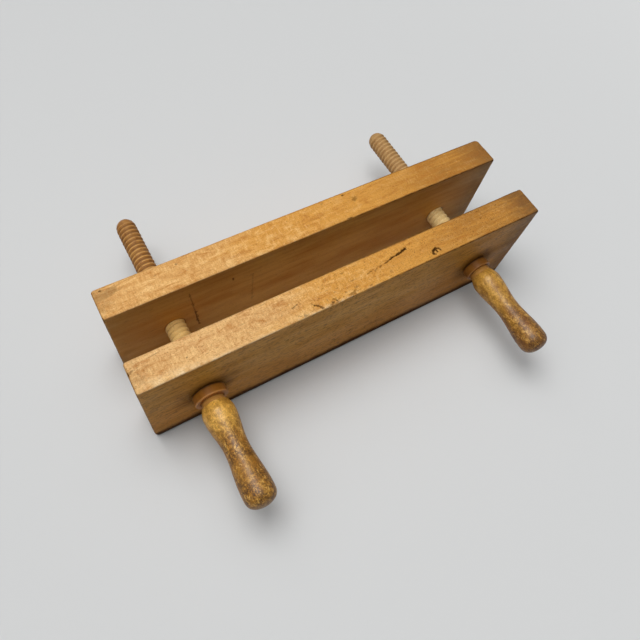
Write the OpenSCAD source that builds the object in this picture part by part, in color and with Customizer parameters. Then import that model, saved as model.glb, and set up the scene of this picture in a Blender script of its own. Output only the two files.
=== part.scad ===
// Bookbinder's finishing press: two beech cheeks drawn together by two wooden screws.
// The rear cheek is tapped and rides on the threads; the front cheek has plain running holes.
// Millimetres. X runs along the cheeks, +Y points from the handles to the screw tips, +Z is up.
// The origin is on the resting plane, below the middle of the whole press.

/* [Cheeks] */
// Length of each cheek
cheek_l = 432; // [340:1:600]
// Height of each cheek
cheek_h = 123; // [100:1:160]
// Thickness of each cheek
cheek_t = 31.5; // [24:0.5:40]
// Opening between the cheeks
jaw_gap = 43.5; // [10:0.5:80]
// Rounding of the upper long edges and the upright ones
edge_round = 1.4; // [0.6:0.1:3]
// Rounding of the lower edges, worn on the bench
foot_round = 4; // [0.6:0.1:6]
// Rounding of the upper corners at the cheek ends
end_round = 2.2; // [0.6:0.1:4]
// Rounding of the rear cheek's worn upright edge, right and behind
worn_round = 6; // [2:0.5:12]

/* [Screws] */
// From a cheek's end to the nearer screw axis
screw_inset = 58.5; // [40:0.5:90]
// Height of the screw axes above the resting plane
screw_z = 60; // [40:0.5:65]
// Outside diameter of the thread
thread_d = 21; // [17:0.5:24]
// Distance between neighbouring crests
thread_pitch = 5.08; // [4.5:0.01:6.5]
// Depth of the groove below the crest
thread_depth = 1.3; // [0.9:0.1:2.2]
// Width of the flat left on the crest
crest_w = 1.6; // [0.8:0.1:2]
// Left screw's length behind the rear cheek
left_tail = 106; // [70:0.5:160]
// Right screw's length behind the rear cheek
right_tail = 99.5; // [70:0.5:160]
// Length of the tapered tip
tip_l = 12; // [10:0.5:20]
// Length at the tip's end that has no thread
tip_bare = 6; // [4:0.5:9]
// How much wider the plain shank is than the thread
shank_over = 0.4; // [0.2:0.1:1.5]
// Length of thread inside the front cheek
thread_lead = 5; // [3:0.5:12]
// Diameter of the tenon that holds the handle
tenon_d = 14; // [10:0.5:16]
// Length of the tenon
tenon_l = 42; // [20:1:60]

/* [Handles] */
// Left handle's length from its collar
left_handle_l = 106.2; // [90:0.2:130]
// Right handle's length from its collar
right_handle_l = 102.8; // [90:0.2:130]
// Diameter of the neck between collar and handle
neck_d = 22.4; // [18:0.2:24]
// Length of that neck
neck_l = 4.8; // [1:0.1:7]
// Hollow where the neck meets the handle's shoulder
neck_cove = 1; // [0.2:0.1:2]
// How far the shoulder stands in from the handle's bulge
shoulder_in = 2.6; // [1:0.1:3]
// Rounding of that shoulder
shoulder_round = 1.2; // [0.6:0.1:1.8]
// Left handle's largest diameter near the collar
left_bulge_d = 31.6; // [28:0.2:36]
// Right handle's largest diameter near the collar
right_bulge_d = 29.4; // [28:0.2:36]
// From the collar to the largest diameter
bulge_at = 15; // [12:0.5:24]
// Left handle's smallest diameter
left_waist_d = 24; // [20:0.2:27]
// Right handle's smallest diameter
right_waist_d = 23; // [20:0.2:27]
// From the collar to the smallest diameter
waist_at = 49.5; // [40:0.5:60]
// Left handle's largest diameter near its end
left_knob_d = 30.4; // [26:0.2:36]
// Right handle's largest diameter near its end
right_knob_d = 29.2; // [26:0.2:36]
// From the widest part of the knob to its end
knob_l = 14.5; // [10:0.5:22]

/* [Collars] */
// Diameter of the left collar
left_collar_d = 33; // [26:0.2:40]
// Diameter of the right collar
right_collar_d = 28.4; // [26:0.2:40]
// Thickness of each collar
collar_t = 9.6; // [7:0.1:14]
// Rounding of the collar's front rim
collar_round = 1.2; // [0.6:0.1:3]
// Rounding of the collar's rim against the cheek
collar_heel = 0.8; // [0.3:0.1:1.5]

/* [Clearances] */
// Running gap between a collar and the front cheek
seat_gap = 0.4; // [0.3:0.1:1]
// Radial room around the shank in the front cheek
shank_room = 0.5; // [0.3:0.05:0.9]
// Radial room between the screw's thread and the tapped hole
thread_room = 0.45; // [0.4:0.05:0.7]
// Radial room of the collar on the shank
collar_room = 0.12; // [0.1:0.02:0.3]
// Glue line around the tenon and at its end
glue_room = 0.12; // [0.1:0.02:0.3]

/* [Hidden] */

// Facets around a thread, and steps on a rounded edge or a turned curve
thread_facets = 24;
edge_steps = 4;
rim_steps = 6;
turned_steps = 12;
tip_steps = 6;
// Facets of the true cylinders
round_facets = 96;
// How full the knob's end is: 2 is an ellipse, more is squarer
knob_fullness = 3.2;
// How pointed a screw's tip is: 0.5 is an ellipse, more is more pointed
tip_taper = 0.55;

// Places along Y, measured from the front face of the front cheek
rear_y = cheek_t + jaw_gap;
back_y = rear_y + cheek_t;
collar_y = -seat_gap;
handle_y = collar_y - collar_t;
shank_end_y = cheek_t - thread_lead;

// The shank's diameter, and its running hole's in the front cheek
shank_d = thread_d + shank_over;
hole_d = shank_d + 2 * shank_room;

// The front face's place in the model, which centres the whole press on Y
longest_tail = max(left_tail, right_tail);
longest_handle = max(left_handle_l, right_handle_l);
front_y = -(back_y + longest_tail + handle_y - longest_handle) / 2;

// Places of the two screws along X
screw_x = cheek_l / 2 - screw_inset;

// The groove's width, the plain run before it starts, and how far the thread reaches into the shank
groove_w = thread_pitch - crest_w;
plain_run = 0.6;
thread_bury = 1.5;
thread_y = shank_end_y - thread_bury;
// Turns over which a screw's groove fades in and out, and its least depth as a share of the full depth
fade_turns = 0.75;
fade_least = 0.2;
// Whole turns of tap left outside each face of the rear cheek
tap_spare = 2;
// How far a hole's cutter reaches past a face
cut_past = 1;
// Least flat left on a collar's faces between its bore and its roundings
collar_land = 0.4;
// Least step from a handle's neck up to its shoulder, and the flat left on that step
least_step = 0.8;
step_land = 0.1;

// Points of an arc round a centre, from angle a0 to a1
function arc(centre, radius, a0, a1, steps) = [
    for (i = [0:steps])
        let (a = a0 + (a1 - a0) * i / steps)
        centre + radius * [cos(a), sin(a)]
];

// A rectangle from the origin with its own rounding at each corner, counter-clockwise from the origin
function rounded_box(size, rounds) = concat(
    arc([rounds[0], rounds[0]], rounds[0], 180, 270, edge_steps),
    arc([size.x - rounds[1], rounds[1]], rounds[1], 270, 360, edge_steps),
    arc([size.x - rounds[2], size.y - rounds[2]], rounds[2], 0, 90, edge_steps),
    arc([rounds[3], size.y - rounds[3]], rounds[3], 90, 180, edge_steps)
);

// Smooth step from 0 to 1 with level ends
function ease(u) = (1 - cos(180 * u)) / 2;

// A turned curve from one level diameter to the next, as [radius, distance] points without the last
function swell(from, to) = [
    for (i = [0:turned_steps - 1])
        let (u = i / turned_steps)
        [from[0] + (to[0] - from[0]) * ease(u), from[1] + (to[1] - from[1]) * u]
];

// A turned curve that leaves a shoulder steeply and comes level at the next diameter, without the last point
function crown(from, to) = [
    for (i = [0:turned_steps - 1])
        let (u = i / turned_steps)
        [from[0] + (to[0] - from[0]) * sin(90 * u), from[1] + (to[1] - from[1]) * u]
];

// A circle of points on the thread's axis
function ring(radius, z) = [
    for (k = [0:thread_facets - 1])
        let (a = 360 * k / thread_facets)
        [radius * cos(a), radius * sin(a), z]
];

// Two triangles of a wall, seen from outside: bottom left, top left, top right, bottom right
function wall(bl, tl, tr, br) = [[bl, tl, tr], [bl, tr, br]];

// A right-hand threaded rod along +Z from a flat foot at z = 0; its vee groove starts plain_run above.
// The last tip millimetres taper to a point, and the last bare ones of those have no thread; where both
// are 0 the top is flat. Where fade is above 0 the groove deepens and ends over that many turns.
module threaded_rod(radius, length, tip, bare, fade) {
    n = thread_facets;
    last = floor(n * (length - bare - 2 * plain_run - groove_w) / thread_pitch);
    steps = tip > 0 ? tip_steps : 0;
    function envelope(z) = z <= length - tip ? radius
        : radius * pow(1 - pow((z - length + tip) / tip, 2), tip_taper);
    function depth(i) = fade == 0 ? thread_depth
        : thread_depth * min(1, fade_least + i / n / fade, fade_least + (last - i) / n / fade);
    function helix(i, inwards, rise) =
        let (a = 360 * i / n)
        let (z = plain_run + rise + thread_pitch * i / n)
        let (r = envelope(z) - inwards)
        [r * cos(a), r * sin(a), z];
    points = concat(
        ring(radius, 0),
        [
            for (i = [0:last])
                each [
                    helix(i, 0, 0),
                    helix(i, depth(i), groove_w / 2),
                    helix(i, 0, groove_w)
                ]
        ],
        [
            for (s = [0:steps])
                let (z = length - bare * (1 - sin(90 * s / (steps + 1))))
                each ring(envelope(z), z)
        ],
        [[0, 0, length], [0, 0, 0]]
    );
    function foot(k) = k % n;
    function row(i, j) = n + 3 * i + j;
    function top(s, k) = n + 3 * (last + 1) + s * n + k % n;
    apex = len(points) - 2;
    heel = len(points) - 1;
    triangles = concat(
        [for (k = [0:n - 1]) [foot(k), foot(k + 1), heel]],
        [for (k = [0:n - 2]) each wall(foot(k), row(k, 0), row(k + 1, 0), foot(k + 1))],
        [
            [foot(n - 1), row(n - 1, 0), row(n, 0)],
            [foot(n - 1), row(n, 0), row(0, 2)],
            [foot(n - 1), row(0, 2), row(0, 0)],
            [foot(n - 1), row(0, 0), foot(0)],
            [row(0, 0), row(0, 2), row(0, 1)]
        ],
        [
            for (i = [0:last - 1])
                for (j = [0:1])
                    each wall(row(i, j), row(i, j + 1), row(i + 1, j + 1), row(i + 1, j))
        ],
        [
            for (i = [0:last - n - 1])
                each wall(row(i, 2), row(i + n, 0), row(i + n + 1, 0), row(i + 1, 2))
        ],
        [
            [row(last, 0), row(last, 1), row(last, 2)],
            [row(last - n + 1, 2), row(last - n, 2), row(last, 0)],
            [row(last - n + 1, 2), row(last, 0), row(last, 2)],
            [row(last - n + 1, 2), row(last, 2), top(0, last)],
            [row(last - n + 1, 2), top(0, last), top(0, last + 1)]
        ],
        [
            for (k = [1:n - 1])
                let (i = last - n + k)
                each wall(row(i, 2), top(0, i), top(0, i + 1), row(i + 1, 2))
        ],
        [
            for (s = [0:1:steps - 1])
                for (k = [0:n - 1])
                    each wall(top(s, k), top(s + 1, k), top(s + 1, k + 1), top(s, k + 1))
        ],
        [for (k = [0:n - 1]) [top(steps, k), apex, top(steps, k + 1)]]
    );
    polyhedron(points, triangles, convexity = 12);
}

// Turns Z-axis work to lie along +Y at a height and a place on the cheeks
module on_screw_axis(x) {
    translate([x, 0, screw_z])
        rotate([-90, 0, 0])
            children();
}

// Moves pieces from the front cheek's face to the press's own origin
module in_place() {
    translate([0, front_y, 0])
        children();
}

// A cheek with its front face on y = 0; worn is the rounding of its right-hand rear upright edge
module board(worn) {
    section = rounded_box([cheek_t, cheek_h], [foot_round, foot_round, edge_round, edge_round]);
    elevation = rounded_box([cheek_l, cheek_h], [foot_round, foot_round, end_round, end_round]);
    plan = rounded_box([cheek_l, cheek_t], [edge_round, edge_round, worn, edge_round]);
    translate([-cheek_l / 2, 0, 0])
        intersection() {
            rotate([90, 0, 90])
                linear_extrude(cheek_l)
                    polygon(section);
            translate([0, cheek_t, 0])
                rotate([90, 0, 0])
                    linear_extrude(cheek_t)
                        polygon(elevation);
            linear_extrude(cheek_h)
                polygon(plan);
        }
}

module front_cheek() {
    color("burlywood")
        in_place()
            difference() {
                board(edge_round);
                for (x = [-screw_x, screw_x])
                    translate([0, -cut_past, 0])
                        on_screw_axis(x)
                            cylinder(h = cheek_t + 2 * cut_past, d = hole_d, $fn = round_facets);
            }
}

module rear_cheek() {
    tap_turn = floor((rear_y - thread_y) / thread_pitch) - tap_spare;
    tap_turns = ceil(cheek_t / thread_pitch) + 2 * tap_spare + 1;
    tap_l = tap_turns * thread_pitch + 2 * plain_run;
    color("burlywood")
        in_place()
            difference() {
                translate([0, rear_y, 0])
                    board(worn_round);
                for (x = [-screw_x, screw_x])
                    translate([0, thread_y + tap_turn * thread_pitch, 0])
                        on_screw_axis(x)
                            threaded_rod(thread_d / 2 + thread_room, tap_l, 0, 0, 0);
            }
}

// One screw: tenon, plain shank and thread, tail long behind the rear cheek
module screw(x, tail) {
    thread_l = back_y + tail - thread_y;
    color("wheat")
        in_place() {
            translate([0, handle_y - tenon_l, 0])
                on_screw_axis(x)
                    cylinder(h = tenon_l + cut_past, d = tenon_d, $fn = round_facets);
            translate([0, handle_y, 0])
                on_screw_axis(x)
                    cylinder(h = shank_end_y - handle_y, d = shank_d, $fn = round_facets);
            translate([0, thread_y, 0])
                on_screw_axis(x)
                    threaded_rod(thread_d / 2, thread_l, tip_l, tip_bare, fade_turns);
        }
}

// A collar ring between the handle and the cheek, rounded on its rim
module collar(x, diameter) {
    bore_r = shank_d / 2 + collar_room;
    rim_r = diameter / 2;
    widest_round = rim_r - bore_r - collar_land;
    front_round = min(collar_round, widest_round);
    heel_round = min(collar_heel, widest_round);
    outline = concat(
        [[bore_r, 0], [bore_r, -collar_t]],
        arc([rim_r - front_round, -collar_t + front_round], front_round, 270, 360, rim_steps),
        arc([rim_r - heel_round, -heel_round], heel_round, 0, 90, rim_steps)
    );
    color("peru")
        in_place()
            translate([0, collar_y, 0])
                on_screw_axis(x)
                    rotate_extrude($fn = round_facets)
                        polygon(outline);
}

// A turned handle of the given length and diameters, bored for the tenon
module handle(x, length, bulge_d, waist_d, knob_d) {
    neck_r = neck_d / 2;
    shoulder_r = max(bulge_d / 2 - shoulder_in, neck_r + least_step);
    half_step = (shoulder_r - neck_r - step_land) / 2;
    cove = min(neck_cove, neck_l, half_step);
    brow = min(shoulder_round, half_step);
    shoulder = [shoulder_r, -neck_l - brow];
    bulge = [bulge_d / 2, -bulge_at];
    waist = [waist_d / 2, -waist_at];
    knob = [knob_d / 2, knob_l - length];
    socket_r = tenon_d / 2 + glue_room;
    socket_l = tenon_l + glue_room;
    dome = [
        for (i = [0:turned_steps])
            let (u = sin(90 * i / turned_steps))
            [knob[0] * sqrt(1 - pow(u, knob_fullness)), knob[1] - knob_l * u]
    ];
    outline = concat(
        [[0, -socket_l], [socket_r, -socket_l], [socket_r, 0], [neck_r, 0]],
        arc([neck_r + cove, cove - neck_l], cove, 180, 270, rim_steps),
        arc(shoulder - [brow, 0], brow, 90, 0, rim_steps),
        crown(shoulder, bulge),
        swell(bulge, waist),
        swell(waist, knob),
        dome
    );
    color("darkgoldenrod")
        in_place()
            translate([0, handle_y, 0])
                on_screw_axis(x)
                    rotate_extrude($fn = round_facets)
                        polygon(outline);
}

module left_screw() { screw(-screw_x, left_tail); }
module left_collar() { collar(-screw_x, left_collar_d); }
module left_handle() { handle(-screw_x, left_handle_l, left_bulge_d, left_waist_d, left_knob_d); }
module right_screw() { screw(screw_x, right_tail); }
module right_collar() { collar(screw_x, right_collar_d); }
module right_handle() { handle(screw_x, right_handle_l, right_bulge_d, right_waist_d, right_knob_d); }

front_cheek();
rear_cheek();
left_screw();
left_collar();
left_handle();
right_screw();
right_collar();
right_handle();
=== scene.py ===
"""Dresses a bookbinder's finishing press: worn beech cheeks, cut wooden screws, varnished handles.

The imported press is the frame. X runs along the cheeks, +Y from the handles to the screw tips, +Z up.
Sizes are in millimetres unless a name ends in _m; they become metres when a mesh is made. A band is
the pair of values between which something goes from none to all.
"""
import logging
import math
from dataclasses import dataclass, field
from enum import Enum
from typing import Callable, Sequence, Union

import bmesh
import bpy
import numpy as np
from mathutils import Matrix, Vector


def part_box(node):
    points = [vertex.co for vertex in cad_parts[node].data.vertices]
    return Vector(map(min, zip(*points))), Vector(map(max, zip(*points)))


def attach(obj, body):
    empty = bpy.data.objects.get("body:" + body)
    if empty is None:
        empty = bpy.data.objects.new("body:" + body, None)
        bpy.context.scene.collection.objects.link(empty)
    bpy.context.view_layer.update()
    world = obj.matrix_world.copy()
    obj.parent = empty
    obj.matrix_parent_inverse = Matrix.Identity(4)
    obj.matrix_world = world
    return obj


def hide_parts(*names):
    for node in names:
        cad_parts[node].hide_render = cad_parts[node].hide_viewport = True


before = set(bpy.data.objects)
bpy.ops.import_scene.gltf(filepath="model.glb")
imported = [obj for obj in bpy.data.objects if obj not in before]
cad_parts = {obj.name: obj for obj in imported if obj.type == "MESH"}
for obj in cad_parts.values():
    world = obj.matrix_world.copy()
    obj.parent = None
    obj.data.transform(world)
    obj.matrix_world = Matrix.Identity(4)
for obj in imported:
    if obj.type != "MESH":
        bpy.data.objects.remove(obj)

LOG = logging.getLogger("finishing_press")
MM = 0.001
TURN = 2 * math.pi
# Points nearer than the first are joined, and places nearer than the second count as one
WELD = 0.002
TOUCH = 0.01
# The top of the cheeks above their foot, where most marks are
CHEEK_TOP = 123.0
# What scatters a lattice: factors for the axes and the seed, then shifts with their factors
WORD = 0xFFFFFFFF
AXIS_MIX = (73856093, 19349663, 83492791)
SEED_MIX = 26544357
STIRS = ((15, 739982445), (13, 695872825), (16, 1))
Array = np.ndarray
Band = tuple[float, float]
Triple = tuple[float, float, float]
Colour = tuple[float, float, float, float]
Material = bpy.types.Material
Piece = bpy.types.Object
Socket = bpy.types.NodeSocket
Value = Union[float, tuple, Socket]


class Side(Enum):
    """The two ends of the press, as they are named in the frame."""

    LEFT = "left"
    RIGHT = "right"


# Numbers for shapes


def step(value: Array, low: float, high: float) -> Array:
    """A smooth rise from 0 at low to 1 at high: 3t^2 - 2t^3, with t the clipped share of the way."""
    t = np.clip((value - low) / (high - low), 0.0, 1.0)
    return t * t * (3 - 2 * t)


def lattice(cells: Array, seed: int) -> Array:
    """A fixed scattered value from 0 to 1 for every whole cell, from mixing the bits of its numbers.

    Args:
        cells: whole numbers, with x, y and z on the last axis.
        seed: which scatter to use.

    Returns:
        One value for each cell.
    """
    i, j, k = np.moveaxis(cells.astype(np.int64) * AXIS_MIX, -1, 0)
    mixed = (i ^ j ^ k ^ seed * SEED_MIX) & WORD
    for shift, factor in STIRS:
        mixed = ((mixed ^ (mixed >> shift)) * factor) & WORD
    return mixed / WORD


def ripple(points: Array, wave: Sequence[float], seed: int) -> Array:
    """Smooth unevenness from -1 to 1: lattice values a wave apart, blended by a step along each axis.

    Args:
        points: places, with x, y and z on the last axis.
        wave: the distance between neighbouring values along x, y and z.
        seed: which scatter to use.

    Returns:
        One value for each place.
    """
    cells = points / np.asarray(wave, float)
    base = np.floor(cells)
    share = step(cells - base, 0.0, 1.0)
    total = np.zeros(points.shape[:-1])
    for corner in np.ndindex(2, 2, 2):
        weight = np.prod(np.where(corner, share, 1 - share), axis=-1)
        total += weight * lattice(base + corner, seed)
    return 2 * total - 1


def stations(breaks: Sequence[float], gap: Callable[[Array], Array]) -> Array:
    """Places along a line, graded by the gap wanted at each: they divide the integral of 1/gap evenly.

    Args:
        breaks: places that have to be among the stations, in order.
        gap: the distance wanted between neighbours at a place.

    Returns:
        The places, in order, with both ends.
    """
    places = []
    samples = 600
    for low, high in zip(breaks[:-1], breaks[1:]):
        fine = np.linspace(low, high, samples)
        load = np.append(0.0, np.cumsum(np.diff(fine) / gap((fine[1:] + fine[:-1]) / 2)))
        shares = np.linspace(0.0, load[-1], max(2, math.ceil(load[-1])) + 1)
        places.append(np.interp(shares[:-1], load, fine))
    return np.append(np.concatenate(places), breaks[-1])


def swell(start: Sequence[float], end: Sequence[float], count: int, steep: bool = False) -> Array:
    """A turned curve: half a cosine of the radius along the axis, or a quarter sine from a shoulder.

    Args:
        start: first radius and place on the axis.
        end: last radius and place, which the next curve starts with.
        count: how many points.
        steep: whether the start is a shoulder.

    Returns:
        Points of radius and place, without the last.
    """
    u = np.arange(count) / count
    ease = np.sin(math.pi / 2 * u) if steep else (1 - np.cos(math.pi * u)) / 2
    return np.array(start) + np.subtract(end, start) * np.stack([ease, u], axis=-1)


def arc(centre: Sequence[float], radius: float, start: float, end: float, count: int) -> Array:
    """Points of radius and place on a circular arc, by degrees from 0 outwards to 90 along +Y."""
    angle = np.radians(np.linspace(start, end, count))
    return np.asarray(centre) + radius * np.stack([np.cos(angle), np.sin(angle)], axis=-1)


# Meshes


@dataclass
class Patch:
    """A grid of points in millimetres, with the cells that it keeps and what is painted on its points."""

    points: Array
    round_columns: bool = False
    keep: Union[Array, None] = None
    paint: dict[str, Array] = field(default_factory=dict)

    def quads(self, first: int) -> Array:
        """The corners of each kept cell.

        Args:
            first: the number of the grid's first point in the whole mesh.

        Returns:
            Four point numbers for each cell.
        """
        rows, columns = self.points.shape[:2]
        index = first + np.arange(rows * columns).reshape(rows, columns)
        if self.round_columns:
            index = np.concatenate([index, index[:, :1]], axis=1)
        cells = np.stack([index[:-1, :-1], index[1:, :-1], index[1:, 1:], index[:-1, 1:]], axis=-1)
        return cells.reshape(-1, 4) if self.keep is None else cells[self.keep]


def weave(name: str, patches: Sequence[Patch]) -> Piece:
    """Joins patches into one smooth mesh at the origin, and their points where they meet.

    Args:
        name: the piece's name.
        patches: the grids, which meet in equal points.

    Returns:
        The new object, linked to the scene.
    """
    firsts = np.cumsum([0] + [p.points.shape[0] * p.points.shape[1] for p in patches])
    points = np.concatenate([p.points.reshape(-1, 3) for p in patches])
    quads = np.concatenate([p.quads(first) for p, first in zip(patches, firsts)])
    mesh = bpy.data.meshes.new(name)
    mesh.from_pydata((points * MM).tolist(), [], quads.tolist(), shade_flat=False)
    for key in patches[0].paint:
        layer = mesh.attributes.new(key, "FLOAT", "POINT")
        layer.data.foreach_set("value", np.concatenate([p.paint[key].ravel() for p in patches]))
    shell = bmesh.new()
    shell.from_mesh(mesh)
    bmesh.ops.remove_doubles(shell, verts=shell.verts, dist=WELD * MM)
    bmesh.ops.recalc_face_normals(shell, faces=shell.faces)
    shell.to_mesh(mesh)
    shell.free()
    mesh.shade_smooth()
    piece = bpy.data.objects.new(name, mesh)
    bpy.context.scene.collection.objects.link(piece)
    return piece


def place(piece: Piece, node: str, body: str, slot: str, finish: Material) -> None:
    """Puts a finished piece in the stead of a frame node.

    Args:
        piece: the new piece.
        node: the node that it stands for.
        body: the body that carries it.
        slot: the record's material slot; not used.
        finish: its material.
    """
    piece.data.materials.append(finish)
    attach(piece, body)
    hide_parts(node)
    LOG.info("%s: %d faces, for %s on %s", piece.name, len(piece.data.polygons), node, body)


# Finishes


def paint(*display: int) -> Colour:
    """A colour from displayed red, green and blue of 0 to 255, as the linear values that shaders take."""
    shares = (value / 255 for value in display)
    return (*(s / 12.92 if s <= 0.04045 else ((s + 0.055) / 1.055) ** 2.4 for s in shares), 1.0)


class Nodes:
    """A node tree, written socket by socket."""

    def __init__(self, owner: Union[Material, bpy.types.World]) -> None:
        """Opens the node tree of a material or a world."""
        owner.use_nodes = True
        self.tree = owner.node_tree

    def put(self, socket: Socket, value: Value) -> None:
        """Links an input to an output, or sets its constant.

        Args:
            socket: the input.
            value: the output or the constant.
        """
        if isinstance(value, Socket):
            self.tree.links.new(value, socket)
        else:
            socket.default_value = value

    def node(self, kind: str, inputs: dict, **settings: object) -> bpy.types.Node:
        """Adds a node.

        Args:
            kind: the node's type.
            inputs: values by input name or number.
            settings: the node's own properties.

        Returns:
            The node.
        """
        made = self.tree.nodes.new(kind)
        for key, value in settings.items():
            setattr(made, key, value)
        for key, value in inputs.items():
            self.put(made.inputs[key], value)
        return made

    def sum(self, operation: str, first: Value, second: Value) -> Socket:
        """One arithmetic step, such as ADD, clipped to 0..1."""
        made = self.node("ShaderNodeMath", {0: first, 1: second}, operation=operation, use_clamp=True)
        return made.outputs[0]

    def times(self, first: Value, second: Value) -> Socket:
        """The product of two values, clipped to 0..1."""
        return self.sum("MULTIPLY", first, second)


class Graph(Nodes):
    """A material: patterns on object coordinates, and one shader whose colour is laid on in coats."""

    def __init__(self, name: str, ground: Colour, shift: Triple = (0.0, 0.0, 0.0)) -> None:
        """Starts the material.

        Args:
            name: the material's name.
            ground: the colour under all coats.
            shift: where its patterns start.
        """
        self.material = bpy.data.materials.new(name)
        super().__init__(self.material)
        self.tree.nodes.clear()
        self.colour: Value = ground
        self.shift = shift
        self.shader = self.node("ShaderNodeBsdfPrincipled", {})
        self.node("ShaderNodeOutputMaterial", {"Surface": self.shader.outputs["BSDF"]})
        self.here = self.node("ShaderNodeTexCoord", {}).outputs["Object"]
        self.x, self.y, self.z = self.node("ShaderNodeSeparateXYZ", {0: self.here}).outputs

    def stretch(self, per_metre: Triple, shift: Triple) -> Socket:
        """Object coordinates, stretched to so many pattern lengths to the metre."""
        inputs = {"Vector": self.here, "Scale": per_metre, "Location": shift}
        return self.node("ShaderNodeMapping", inputs).outputs["Vector"]

    def noise(self, per_metre: Triple, detail: float = 2.0, rough: float = 0.5, twist: float = 0.0,
              shift: Union[Triple, None] = None) -> Socket:
        """Noise about 0.5 on object coordinates.

        Args:
            per_metre: pattern lengths to the metre along x, y and z.
            detail: octaves of finer noise.
            rough: the strength of each finer octave.
            twist: how far the pattern is bent.
            shift: where it starts, if not at the material's own place.

        Returns:
            The noise's value.
        """
        where = self.stretch(per_metre, self.shift if shift is None else shift)
        inputs = {"Vector": where, "Scale": 1.0, "Detail": detail, "Roughness": rough, "Distortion": twist}
        return self.node("ShaderNodeTexNoise", inputs).outputs[0]

    def band(self, value: Value, low: float, high: float, start: float = 0.0, end: float = 1.0) -> Socket:
        """Carries low..high smoothly to start..end, clipped to its ends."""
        inputs = {0: value, 1: low, 2: high, 3: start, 4: end}
        return self.node("ShaderNodeMapRange", inputs, interpolation_type="SMOOTHSTEP").outputs[0]

    def mix(self, share: Value, first: Value, second: Value) -> Socket:
        """Blends a share of the second colour into the first."""
        return self.node("ShaderNodeMix", {0: share, 6: first, 7: second}, data_type="RGBA").outputs[2]

    def cover(self, share: Value, colour: Value) -> None:
        """Lays a share of a colour over the coats that are there."""
        self.colour = self.mix(share, self.colour, colour)

    def coat(self, colour: Colour, value: Value, low: float, high: float, share: float,
             where: Value = 1.0) -> None:
        """Lays a colour on, from none where the value is low to the whole share where it is high."""
        self.cover(self.times(self.band(value, low, high, 0.0, share), where), colour)

    def painted(self, key: str) -> Socket:
        """A value painted on the mesh's points."""
        return self.node("ShaderNodeAttribute", {}, attribute_name=key).outputs["Fac"]

    def surface(self, **values: Value) -> None:
        """Gives the shader the coats' colour, and values by input name, with _ for a space."""
        for key, value in {"Base_Color": self.colour, **values}.items():
            self.put(self.shader.inputs[key.replace("_", " ")], value)

    def bump(self, height: Value, depth_m: float, strength: float) -> None:
        """Gives the shader a fine relief of heights from 0 to 1."""
        made = self.node("ShaderNodeBump", {"Height": height, "Distance": depth_m, "Strength": strength})
        self.put(self.shader.inputs["Normal"], made.outputs["Normal"])


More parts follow.
